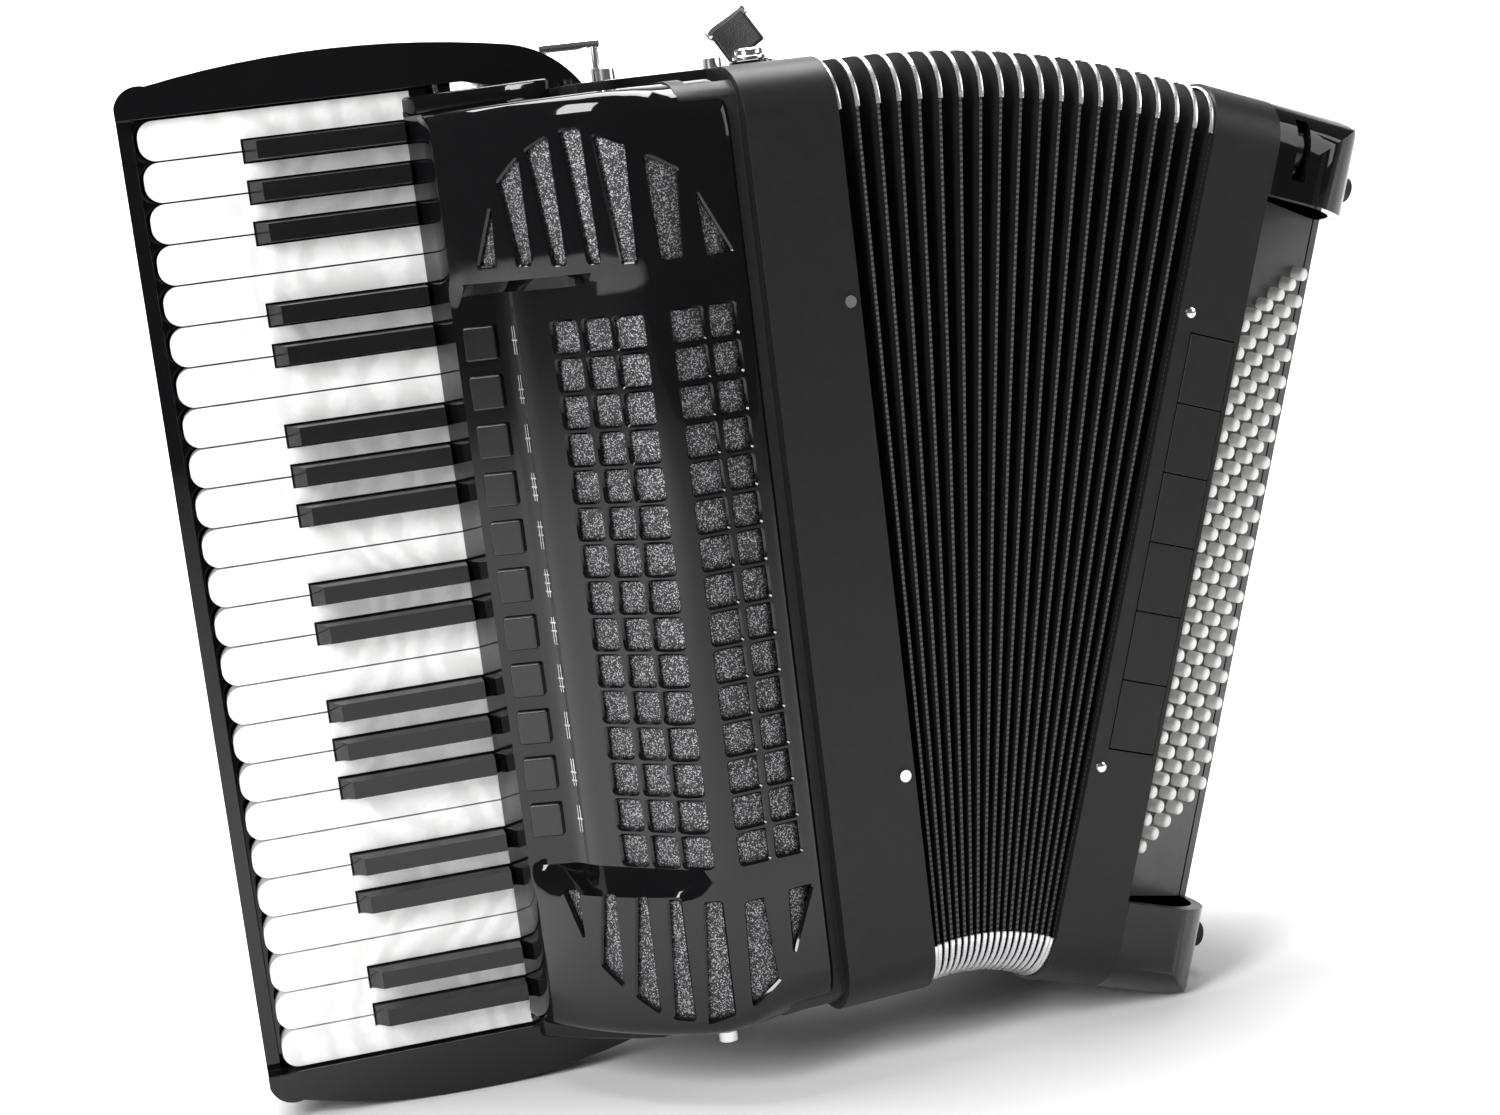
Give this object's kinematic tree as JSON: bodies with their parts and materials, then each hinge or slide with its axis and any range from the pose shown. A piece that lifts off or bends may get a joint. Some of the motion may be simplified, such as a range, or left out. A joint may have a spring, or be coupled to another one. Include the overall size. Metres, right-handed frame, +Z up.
{
  "type": "piano accordion",
  "caption": "Free-standing piano accordion with a pearl keyboard, pierced grille, fanned bellows and a slanted board of bass buttons.",
  "frame": {"origin": "under the middle of the whole instrument, on the surface it stands on, bellows fanned open", "axes": "+Z up along the keyboard, +X from the treble case to the bass case, +Y from the front of the cases to the player"},
  "size_m": [0.6366, 0.1918, 0.5322],
  "materials": {
    "satin_black": "satin black covering on thin plywood",
    "black_lacquer": "mirror gloss black celluloid",
    "glitter_cloth": "dark cloth with silver glitter",
    "chrome": "polished",
    "bellows_card": "black pleated card with woven tape on the ridges",
    "corner_metal": "polished silver white",
    "reed_wood": "plain",
    "axle_steel": "ground",
    "white_button": "glossy white",
    "pearl_white": "white pearloid",
    "key_black": "glossy black",
    "black_rubber": "matt",
    "strap_leather": "grained black"
  },
  "bodies": {
    "treble": {"treble_case": "satin_black", "keyboard_frame": "black_lacquer", "grille_cover": "black_lacquer", "grille_mesh": "glitter_cloth", "treble_fittings": "chrome", "bellows_folds": "bellows_card", "bellows_corners": "corner_metal", "treble_reed_blocks": "reed_wood", "key_axle": "axle_steel"},
    "bass": {"bass_case": "satin_black", "bass_end_plate": "satin_black", "bass_feet": "black_rubber", "bass_strap": "strap_leather", "bass_reed_block": "reed_wood"},
    "treble_register_set": {"treble_registers": "black_lacquer"},
    "bass_button_set": {"bass_buttons": "white_button"},
    "bass_register_set": {"bass_registers": "satin_black"},
    "air_plunger": {"air_button": "white_button"},
    "strap_adjuster": {"strap_wheel": "chrome"},
    "body_key_01_f3": {"key_01_f3": "pearl_white"},
    "body_key_02_fs3": {"key_02_fs3": "key_black"},
    "body_key_03_g3": {"key_03_g3": "pearl_white"},
    "body_key_04_gs3": {"key_04_gs3": "key_black"},
    "body_key_05_a3": {"key_05_a3": "pearl_white"},
    "body_key_06_as3": {"key_06_as3": "key_black"},
    "body_key_07_b3": {"key_07_b3": "pearl_white"},
    "body_key_08_c4": {"key_08_c4": "pearl_white"},
    "body_key_09_cs4": {"key_09_cs4": "key_black"},
    "body_key_10_d4": {"key_10_d4": "pearl_white"},
    "body_key_11_ds4": {"key_11_ds4": "key_black"},
    "body_key_12_e4": {"key_12_e4": "pearl_white"},
    "body_key_13_f4": {"key_13_f4": "pearl_white"},
    "body_key_14_fs4": {"key_14_fs4": "key_black"},
    "body_key_15_g4": {"key_15_g4": "pearl_white"},
    "body_key_16_gs4": {"key_16_gs4": "key_black"},
    "body_key_17_a4": {"key_17_a4": "pearl_white"},
    "body_key_18_as4": {"key_18_as4": "key_black"},
    "body_key_19_b4": {"key_19_b4": "pearl_white"},
    "body_key_20_c5": {"key_20_c5": "pearl_white"},
    "body_key_21_cs5": {"key_21_cs5": "key_black"},
    "body_key_22_d5": {"key_22_d5": "pearl_white"},
    "body_key_23_ds5": {"key_23_ds5": "key_black"},
    "body_key_24_e5": {"key_24_e5": "pearl_white"},
    "body_key_25_f5": {"key_25_f5": "pearl_white"},
    "body_key_26_fs5": {"key_26_fs5": "key_black"},
    "body_key_27_g5": {"key_27_g5": "pearl_white"},
    "body_key_28_gs5": {"key_28_gs5": "key_black"},
    "body_key_29_a5": {"key_29_a5": "pearl_white"},
    "body_key_30_as5": {"key_30_as5": "key_black"},
    "body_key_31_b5": {"key_31_b5": "pearl_white"},
    "body_key_32_c6": {"key_32_c6": "pearl_white"},
    "body_key_33_cs6": {"key_33_cs6": "key_black"},
    "body_key_34_d6": {"key_34_d6": "pearl_white"},
    "body_key_35_ds6": {"key_35_ds6": "key_black"},
    "body_key_36_e6": {"key_36_e6": "pearl_white"},
    "body_key_37_f6": {"key_37_f6": "pearl_white"},
    "body_key_38_fs6": {"key_38_fs6": "key_black"},
    "body_key_39_g6": {"key_39_g6": "pearl_white"},
    "body_key_40_gs6": {"key_40_gs6": "key_black"},
    "body_key_41_a6": {"key_41_a6": "pearl_white"}
  },
  "joints": [
    {"name": "bellows_fan", "type": "hinge", "parent": "treble", "child": "bass", "pos_m": [0.03972, 0.0009, 0.03364], "axis": [0, 1, 0], "range_deg": [-19.2, 20], "deforming": ["bellows_folds", "bellows_corners"]},
    {"name": "bass_buttons_press", "type": "slide", "parent": "bass", "child": "bass_button_set", "axis": [-0.423, 0.8957, 0.1369], "range_m": [0, 0.0035], "stiffness_N_per_m": 600, "springref_m": -0.002},
    {"name": "bass_registers_press", "type": "slide", "parent": "bass", "child": "bass_register_set", "axis": [0, 1, 0], "range_m": [0, 0.0025], "stiffness_N_per_m": 600, "springref_m": -0.002},
    {"name": "air_button_press", "type": "slide", "parent": "bass", "child": "air_plunger", "axis": [-0.9514, 0, 0.3079], "range_m": [0, 0.006], "stiffness_N_per_m": 500, "springref_m": -0.003},
    {"name": "strap_wheel_turn", "type": "hinge", "parent": "bass", "child": "strap_adjuster", "pos_m": [0.25806, -0.0766, 0.43385], "axis": [0.9514, 0, -0.3079], "continuous": true},
    {"name": "treble_registers_press", "type": "slide", "parent": "treble", "child": "treble_register_set", "axis": [0.4787, 0.8779, 0.0109], "range_m": [0, 0.0025], "stiffness_N_per_m": 600, "springref_m": -0.002},
    {"name": "key_01_f3_press", "type": "hinge", "parent": "treble", "child": "body_key_01_f3", "pos_m": [-0.16276, 0.02729, 0.49914], "axis": [0.0228, 0, -0.9997], "range_deg": [0, 2.2], "stiffness_Nm_per_rad": 0.8, "springref_deg": -4.58},
    {"name": "key_02_fs3_press", "type": "hinge", "parent": "treble", "child": "body_key_02_fs3", "pos_m": [-0.16253, 0.02729, 0.48915], "axis": [0.0228, 0, -0.9997], "range_deg": [0, 2.2], "stiffness_Nm_per_rad": 0.8, "springref_deg": -4.58},
    {"name": "key_03_g3_press", "type": "hinge", "parent": "treble", "child": "body_key_03_g3", "pos_m": [-0.1623, 0.02729, 0.47915], "axis": [0.0228, 0, -0.9997], "range_deg": [0, 2.2], "stiffness_Nm_per_rad": 0.8, "springref_deg": -4.58},
    {"name": "key_04_gs3_press", "type": "hinge", "parent": "treble", "child": "body_key_04_gs3", "pos_m": [-0.16208, 0.02729, 0.46915], "axis": [0.0228, 0, -0.9997], "range_deg": [0, 2.2], "stiffness_Nm_per_rad": 0.8, "springref_deg": -4.58},
    {"name": "key_05_a3_press", "type": "hinge", "parent": "treble", "child": "body_key_05_a3", "pos_m": [-0.16185, 0.02729, 0.45915], "axis": [0.0228, 0, -0.9997], "range_deg": [0, 2.2], "stiffness_Nm_per_rad": 0.8, "springref_deg": -4.58},
    {"name": "key_06_as3_press", "type": "hinge", "parent": "treble", "child": "body_key_06_as3", "pos_m": [-0.16162, 0.02729, 0.44916], "axis": [0.0228, 0, -0.9997], "range_deg": [0, 2.2], "stiffness_Nm_per_rad": 0.8, "springref_deg": -4.58},
    {"name": "key_07_b3_press", "type": "hinge", "parent": "treble", "child": "body_key_07_b3", "pos_m": [-0.16139, 0.02729, 0.43916], "axis": [0.0228, 0, -0.9997], "range_deg": [0, 2.2], "stiffness_Nm_per_rad": 0.8, "springref_deg": -4.58},
    {"name": "key_08_c4_press", "type": "hinge", "parent": "treble", "child": "body_key_08_c4", "pos_m": [-0.16094, 0.02729, 0.41916], "axis": [0.0228, 0, -0.9997], "range_deg": [0, 2.2], "stiffness_Nm_per_rad": 0.8, "springref_deg": -4.58},
    {"name": "key_09_cs4_press", "type": "hinge", "parent": "treble", "child": "body_key_09_cs4", "pos_m": [-0.16071, 0.02729, 0.40917], "axis": [0.0228, 0, -0.9997], "range_deg": [0, 2.2], "stiffness_Nm_per_rad": 0.8, "springref_deg": -4.58},
    {"name": "key_10_d4_press", "type": "hinge", "parent": "treble", "child": "body_key_10_d4", "pos_m": [-0.16048, 0.02729, 0.39917], "axis": [0.0228, 0, -0.9997], "range_deg": [0, 2.2], "stiffness_Nm_per_rad": 0.8, "springref_deg": -4.58},
    {"name": "key_11_ds4_press", "type": "hinge", "parent": "treble", "child": "body_key_11_ds4", "pos_m": [-0.16025, 0.02729, 0.38917], "axis": [0.0228, 0, -0.9997], "range_deg": [0, 2.2], "stiffness_Nm_per_rad": 0.8, "springref_deg": -4.58},
    {"name": "key_12_e4_press", "type": "hinge", "parent": "treble", "child": "body_key_12_e4", "pos_m": [-0.16002, 0.02729, 0.37917], "axis": [0.0228, 0, -0.9997], "range_deg": [0, 2.2], "stiffness_Nm_per_rad": 0.8, "springref_deg": -4.58},
    {"name": "key_13_f4_press", "type": "hinge", "parent": "treble", "child": "body_key_13_f4", "pos_m": [-0.15957, 0.02729, 0.35918], "axis": [0.0228, 0, -0.9997], "range_deg": [0, 2.2], "stiffness_Nm_per_rad": 0.8, "springref_deg": -4.58},
    {"name": "key_14_fs4_press", "type": "hinge", "parent": "treble", "child": "body_key_14_fs4", "pos_m": [-0.15934, 0.02729, 0.34918], "axis": [0.0228, 0, -0.9997], "range_deg": [0, 2.2], "stiffness_Nm_per_rad": 0.8, "springref_deg": -4.58},
    {"name": "key_15_g4_press", "type": "hinge", "parent": "treble", "child": "body_key_15_g4", "pos_m": [-0.15911, 0.02729, 0.33918], "axis": [0.0228, 0, -0.9997], "range_deg": [0, 2.2], "stiffness_Nm_per_rad": 0.8, "springref_deg": -4.58},
    {"name": "key_16_gs4_press", "type": "hinge", "parent": "treble", "child": "body_key_16_gs4", "pos_m": [-0.15888, 0.02729, 0.32919], "axis": [0.0228, 0, -0.9997], "range_deg": [0, 2.2], "stiffness_Nm_per_rad": 0.8, "springref_deg": -4.58},
    {"name": "key_17_a4_press", "type": "hinge", "parent": "treble", "child": "body_key_17_a4", "pos_m": [-0.15866, 0.02729, 0.31919], "axis": [0.0228, 0, -0.9997], "range_deg": [0, 2.2], "stiffness_Nm_per_rad": 0.8, "springref_deg": -4.58},
    {"name": "key_18_as4_press", "type": "hinge", "parent": "treble", "child": "body_key_18_as4", "pos_m": [-0.15843, 0.02729, 0.30919], "axis": [0.0228, 0, -0.9997], "range_deg": [0, 2.2], "stiffness_Nm_per_rad": 0.8, "springref_deg": -4.58},
    {"name": "key_19_b4_press", "type": "hinge", "parent": "treble", "child": "body_key_19_b4", "pos_m": [-0.1582, 0.02729, 0.29919], "axis": [0.0228, 0, -0.9997], "range_deg": [0, 2.2], "stiffness_Nm_per_rad": 0.8, "springref_deg": -4.58},
    {"name": "key_20_c5_press", "type": "hinge", "parent": "treble", "child": "body_key_20_c5", "pos_m": [-0.15775, 0.02729, 0.2792], "axis": [0.0228, 0, -0.9997], "range_deg": [0, 2.2], "stiffness_Nm_per_rad": 0.8, "springref_deg": -4.58},
    {"name": "key_21_cs5_press", "type": "hinge", "parent": "treble", "child": "body_key_21_cs5", "pos_m": [-0.15752, 0.02729, 0.2692], "axis": [0.0228, 0, -0.9997], "range_deg": [0, 2.2], "stiffness_Nm_per_rad": 0.8, "springref_deg": -4.58},
    {"name": "key_22_d5_press", "type": "hinge", "parent": "treble", "child": "body_key_22_d5", "pos_m": [-0.15729, 0.02729, 0.25921], "axis": [0.0228, 0, -0.9997], "range_deg": [0, 2.2], "stiffness_Nm_per_rad": 0.8, "springref_deg": -4.58},
    {"name": "key_23_ds5_press", "type": "hinge", "parent": "treble", "child": "body_key_23_ds5", "pos_m": [-0.15706, 0.02729, 0.24921], "axis": [0.0228, 0, -0.9997], "range_deg": [0, 2.2], "stiffness_Nm_per_rad": 0.8, "springref_deg": -4.58},
    {"name": "key_24_e5_press", "type": "hinge", "parent": "treble", "child": "body_key_24_e5", "pos_m": [-0.15683, 0.02729, 0.23921], "axis": [0.0228, 0, -0.9997], "range_deg": [0, 2.2], "stiffness_Nm_per_rad": 0.8, "springref_deg": -4.58},
    {"name": "key_25_f5_press", "type": "hinge", "parent": "treble", "child": "body_key_25_f5", "pos_m": [-0.15638, 0.02729, 0.21922], "axis": [0.0228, 0, -0.9997], "range_deg": [0, 2.2], "stiffness_Nm_per_rad": 0.8, "springref_deg": -4.58},
    {"name": "key_26_fs5_press", "type": "hinge", "parent": "treble", "child": "body_key_26_fs5", "pos_m": [-0.15615, 0.02729, 0.20922], "axis": [0.0228, 0, -0.9997], "range_deg": [0, 2.2], "stiffness_Nm_per_rad": 0.8, "springref_deg": -4.58},
    {"name": "key_27_g5_press", "type": "hinge", "parent": "treble", "child": "body_key_27_g5", "pos_m": [-0.15592, 0.02729, 0.19922], "axis": [0.0228, 0, -0.9997], "range_deg": [0, 2.2], "stiffness_Nm_per_rad": 0.8, "springref_deg": -4.58},
    {"name": "key_28_gs5_press", "type": "hinge", "parent": "treble", "child": "body_key_28_gs5", "pos_m": [-0.15569, 0.02729, 0.18922], "axis": [0.0228, 0, -0.9997], "range_deg": [0, 2.2], "stiffness_Nm_per_rad": 0.8, "springref_deg": -4.58},
    {"name": "key_29_a5_press", "type": "hinge", "parent": "treble", "child": "body_key_29_a5", "pos_m": [-0.15547, 0.02729, 0.17923], "axis": [0.0228, 0, -0.9997], "range_deg": [0, 2.2], "stiffness_Nm_per_rad": 0.8, "springref_deg": -4.58},
    {"name": "key_30_as5_press", "type": "hinge", "parent": "treble", "child": "body_key_30_as5", "pos_m": [-0.15524, 0.02729, 0.16923], "axis": [0.0228, 0, -0.9997], "range_deg": [0, 2.2], "stiffness_Nm_per_rad": 0.8, "springref_deg": -4.58},
    {"name": "key_31_b5_press", "type": "hinge", "parent": "treble", "child": "body_key_31_b5", "pos_m": [-0.15501, 0.02729, 0.15923], "axis": [0.0228, 0, -0.9997], "range_deg": [0, 2.2], "stiffness_Nm_per_rad": 0.8, "springref_deg": -4.58},
    {"name": "key_32_c6_press", "type": "hinge", "parent": "treble", "child": "body_key_32_c6", "pos_m": [-0.15456, 0.02729, 0.13924], "axis": [0.0228, 0, -0.9997], "range_deg": [0, 2.2], "stiffness_Nm_per_rad": 0.8, "springref_deg": -4.58},
    {"name": "key_33_cs6_press", "type": "hinge", "parent": "treble", "child": "body_key_33_cs6", "pos_m": [-0.15433, 0.02729, 0.12924], "axis": [0.0228, 0, -0.9997], "range_deg": [0, 2.2], "stiffness_Nm_per_rad": 0.8, "springref_deg": -4.58},
    {"name": "key_34_d6_press", "type": "hinge", "parent": "treble", "child": "body_key_34_d6", "pos_m": [-0.1541, 0.02729, 0.11924], "axis": [0.0228, 0, -0.9997], "range_deg": [0, 2.2], "stiffness_Nm_per_rad": 0.8, "springref_deg": -4.58},
    {"name": "key_35_ds6_press", "type": "hinge", "parent": "treble", "child": "body_key_35_ds6", "pos_m": [-0.15387, 0.02729, 0.10924], "axis": [0.0228, 0, -0.9997], "range_deg": [0, 2.2], "stiffness_Nm_per_rad": 0.8, "springref_deg": -4.58},
    {"name": "key_36_e6_press", "type": "hinge", "parent": "treble", "child": "body_key_36_e6", "pos_m": [-0.15364, 0.02729, 0.09925], "axis": [0.0228, 0, -0.9997], "range_deg": [0, 2.2], "stiffness_Nm_per_rad": 0.8, "springref_deg": -4.58},
    {"name": "key_37_f6_press", "type": "hinge", "parent": "treble", "child": "body_key_37_f6", "pos_m": [-0.15319, 0.02729, 0.07925], "axis": [0.0228, 0, -0.9997], "range_deg": [0, 2.2], "stiffness_Nm_per_rad": 0.8, "springref_deg": -4.58},
    {"name": "key_38_fs6_press", "type": "hinge", "parent": "treble", "child": "body_key_38_fs6", "pos_m": [-0.15296, 0.02729, 0.06925], "axis": [0.0228, 0, -0.9997], "range_deg": [0, 2.2], "stiffness_Nm_per_rad": 0.8, "springref_deg": -4.58},
    {"name": "key_39_g6_press", "type": "hinge", "parent": "treble", "child": "body_key_39_g6", "pos_m": [-0.15273, 0.02729, 0.05926], "axis": [0.0228, 0, -0.9997], "range_deg": [0, 2.2], "stiffness_Nm_per_rad": 0.8, "springref_deg": -4.58},
    {"name": "key_40_gs6_press", "type": "hinge", "parent": "treble", "child": "body_key_40_gs6", "pos_m": [-0.1525, 0.02729, 0.04926], "axis": [0.0228, 0, -0.9997], "range_deg": [0, 2.2], "stiffness_Nm_per_rad": 0.8, "springref_deg": -4.58},
    {"name": "key_41_a6_press", "type": "hinge", "parent": "treble", "child": "body_key_41_a6", "pos_m": [-0.15228, 0.02729, 0.03926], "axis": [0.0228, 0, -0.9997], "range_deg": [0, 2.2], "stiffness_Nm_per_rad": 0.8, "springref_deg": -4.58}
  ]
}
